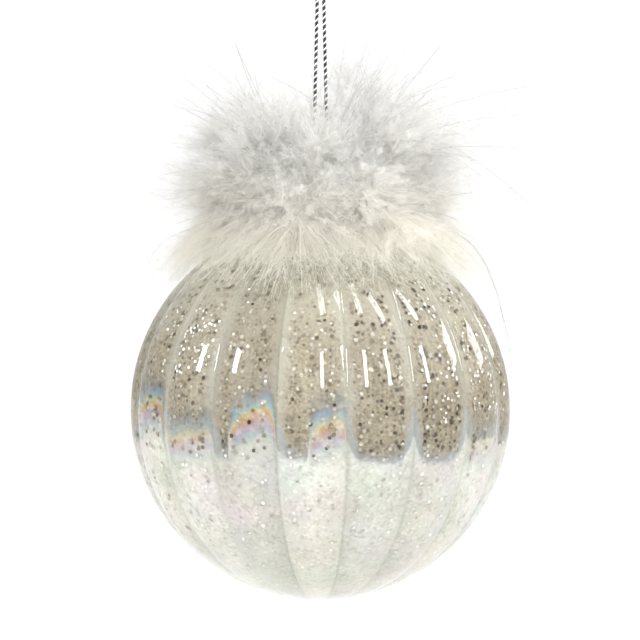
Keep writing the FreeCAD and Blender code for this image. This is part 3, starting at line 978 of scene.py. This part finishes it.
def down_core(turn, rng):
    """The packed down in the middle of a plume: a lumpy egg, and short barbs that stand on it."""
    climb = np.linspace(-math.pi / 2, math.pi / 2, CORE_ROWS)[:, None]
    round_ = np.linspace(0, 2 * math.pi, CORE_COLUMNS, endpoint=False)[None, :]
    shape = np.stack(
        [np.cos(climb) * np.cos(round_), np.cos(climb) * np.sin(round_), np.sin(climb) + 0 * round_],
        axis=-1,
    ).reshape(-1, 3)
    lumps = 1 + 0.12 * np.sin(shape @ rng.normal(0, 4, (3, 4)) + rng.uniform(0, 6, 4)).sum(1) / 2
    local = shape * CORE_SIZE * lumps[:, None]
    c, s = math.cos(math.radians(turn)), math.sin(math.radians(turn))
    spin = np.array([[c, s, 0], [-s, c, 0], [0, 0, 1]])
    middle = np.array(CORE_MIDDLE) @ spin
    points = local @ spin + middle
    out = unit(rng.normal(0, 1, (CORE_BARBS, 3)))
    root = out * (np.array(CORE_SIZE) - 0.2) @ spin + middle
    t = np.linspace(0, 1, BARB_STEPS)[None, :, None]
    start = unit(out @ spin + rng.normal(0, 0.35, (CORE_BARBS, 3)))[:, None]
    curl = rng.normal(0, 0.45, (CORE_BARBS, 1, 3))
    barbs = root[:, None] + rng.uniform(3, 8, (CORE_BARBS, 1, 1)) * (t * start + t**2 * curl)
    return (points, grid_faces(CORE_ROWS, CORE_COLUMNS)), barbs


def strands(barbs, count_each, sizes, rng):
    """Barbs as ribbons, and their barbules as triangles: two pairs of points and faces."""
    thick, thin, longest, half_width = sizes
    barbs = barbs[clear_of_parts(barbs)]
    facing = unit(barbs.mean(axis=1) - (0, 0, RING_HEIGHT))[:, None]
    facing = facing + rng.normal(0, 0.5, (len(barbs), 1, 3))
    taper = np.linspace(thick, thin, BARB_STEPS)[None, :, None]
    hairs = barbules_on(barbs, count_each, longest, half_width, rng)
    hairs = hairs[clear_of_parts(hairs)].reshape(-1, 3)
    return ribbons(barbs, taper, facing), (hairs, np.arange(len(hairs)).reshape(-1, 3))


def make_plume(name, turn, reach, top, rng, material):
    """One plume as one mesh, shaded by its direction out of the collar and not hair by hair."""
    barbs = barbs_on(stems(turn, reach, top, FEATHERS, rng), rng)
    core, short_barbs = down_core(turn, rng)
    barbs = np.concatenate([barbs, short_barbs, falling(turn, FALLING, rng)])
    if name == "front":
        barbs = np.concatenate([barbs, tied_barbs(rng)])
    soft = strands(barbs, BARBULES_EACH, BARB, rng)
    loose = [tufts(turn, reach, top, rng), flyaways(turn, FLYAWAYS.get(name, 0), rng)]
    wisps = strands(np.concatenate(loose), TUFT_BARBULES, WISP, rng)
    parts = [core, *soft, *wisps]
    counts = np.cumsum([0] + [len(p) for p, _ in parts])
    points = np.concatenate([p for p, _ in parts]) * MM + (0, 0, CENTRE)
    faces = [f + n for (_, f), n in zip(parts, counts)]
    plume = piece(
        f"marabou_{name}", points, faces, material, "cap", [f"plume_{name}"]
    )
    out = unit(points - (0, 0, CENTRE + (RING_HEIGHT - 12) * MM))
    plume.data.normals_split_custom_set_from_vertices(out.tolist())
    # Marks the wisps' points, which the material greys with painted shade.
    paint_points(plume, "wisp_shade", np.arange(len(points)) >= counts[3])


FEATHER = feather_material("marabou_down")
for number, (name, (turn, reach, top)) in enumerate(PLUMES.items()):
    make_plume(name, turn, reach, top, np.random.default_rng(100 + number), FEATHER)


# ---- materials of the CAD nodes that show ----


def paint(nodes, material):
    """Gives CAD nodes that show a material."""
    for node in nodes:
        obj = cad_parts[node]
        obj.data.materials.clear()
        obj.data.materials.append(material)


paint(["cap_shell"], metal_material("stamped_cap", (214, 212, 206), 0.3, 400.0))
paint(["spring_clip"], metal_material("spring_wire", (200, 200, 202), 0.2, 900.0))
paint(["collar_core", "collar_knot"], plain_material("cotton_core", (240, 238, 230), 0.85, 1800.0, 0.0003))
paint(["glue_bead"], plain_material("clear_glue", (232, 228, 210), 0.3, 300.0, 0.0002))
paint(
    [f"quill_{name}" for name in PLUMES],
    plain_material("feather_quill", (244, 240, 226), 0.5, 900.0, 0.0001),
)


# ---- floor and light ----


def make_floor():
    """A pale floor well below the hanging ball."""
    size, drop = 12.0, 0.35
    bpy.ops.mesh.primitive_plane_add(size=size, location=(0, 0, cad_box[0].z - drop))
    floor = bpy.context.object
    floor.name = "pale_floor"
    n = Nodes("pale_floor")
    n.set(Base_Color=(0.95, 0.95, 0.95, 1), Roughness=1.0)
    n.set(Emission_Color=(1, 1, 1, 1), Emission_Strength=0.25)
    floor.data.materials.append(n.material)


def make_world():
    """White to the eye, and a soft room for the light: bright above, dimmer at the sides."""
    world = bpy.data.worlds.new("studio")
    bpy.context.scene.world = world
    world.use_nodes = True
    nodes, links = world.node_tree.nodes, world.node_tree.links
    seen = nodes["Background"]
    seen.inputs["Color"].default_value = (1, 1, 1, 1)
    seen.inputs["Strength"].default_value = 1.05
    room = nodes.new("ShaderNodeBackground")
    place = nodes.new("ShaderNodeTexCoord")
    parts = nodes.new("ShaderNodeSeparateXYZ")
    links.new(place.outputs["Generated"], parts.inputs[0])
    ramp = nodes.new("ShaderNodeValToRGB")
    ramp.color_ramp.elements[0].position = 0.0
    ramp.color_ramp.elements[0].color = (0.7, 0.7, 0.69, 1)
    ramp.color_ramp.elements[1].position = 1.0
    ramp.color_ramp.elements[1].color = (1, 1, 1, 1)
    links.new(parts.outputs["Z"], ramp.inputs["Fac"])
    links.new(ramp.outputs["Color"], room.inputs["Color"])
    room.inputs["Strength"].default_value = 0.95
    path = nodes.new("ShaderNodeLightPath")
    mix = nodes.new("ShaderNodeMixShader")
    links.new(path.outputs["Is Camera Ray"], mix.inputs["Fac"])
    links.new(room.outputs[0], mix.inputs[1])
    links.new(seen.outputs[0], mix.inputs[2])
    links.new(mix.outputs[0], nodes["World Output"].inputs["Surface"])


# Each lamp's direction, climb, distance, width and height in metres, and how bright it looks.
LAMPS = {
    "front_box": (-78, 28, 0.8, (0.07, 0.3), 26),
    "right_box": (-39, 26, 0.8, (0.08, 0.28), 24),
    "far_box": (25, 19, 0.8, (0.26, 0.2), 7),
    "left_box": (204, 27, 0.8, (0.12, 0.17), 24),
    "top_box": (-70, 72, 0.8, (0.1, 0.3), 14),
    "top_right_box": (-20, 57, 0.8, (0.1, 0.28), 14),
    "left_fill": (215, 20, 1.2, (0.8, 0.8), 1.4),
    "right_fill": (-15, 25, 1.2, (0.8, 0.8), 1.2),
    "front_fill": (268, 12, 1.2, (0.9, 0.7), 1.0),
}


def softbox(name, turn, climb, distance, size, glow):
    """A rectangular light aimed at the ball."""
    data = bpy.data.lights.new(name, "AREA")
    data.shape = "RECTANGLE"
    data.size, data.size_y = size
    data.energy = glow * size[0] * size[1] * math.pi
    light = bpy.data.objects.new(name, data)
    bpy.context.scene.collection.objects.link(light)
    turn, climb = math.radians(turn), math.radians(climb)
    way = Vector(
        (math.cos(climb) * math.cos(turn), math.cos(climb) * math.sin(turn), math.sin(climb))
    )
    light.location = Vector((0, 0, CENTRE)) + way * distance
    light.rotation_mode = "QUATERNION"
    light.rotation_quaternion = (-way).to_track_quat("-Z", "Y")


make_floor()
make_world()
for name, lamp in LAMPS.items():
    softbox(name, *lamp)

bpy.context.scene.view_settings.view_transform = "Standard"
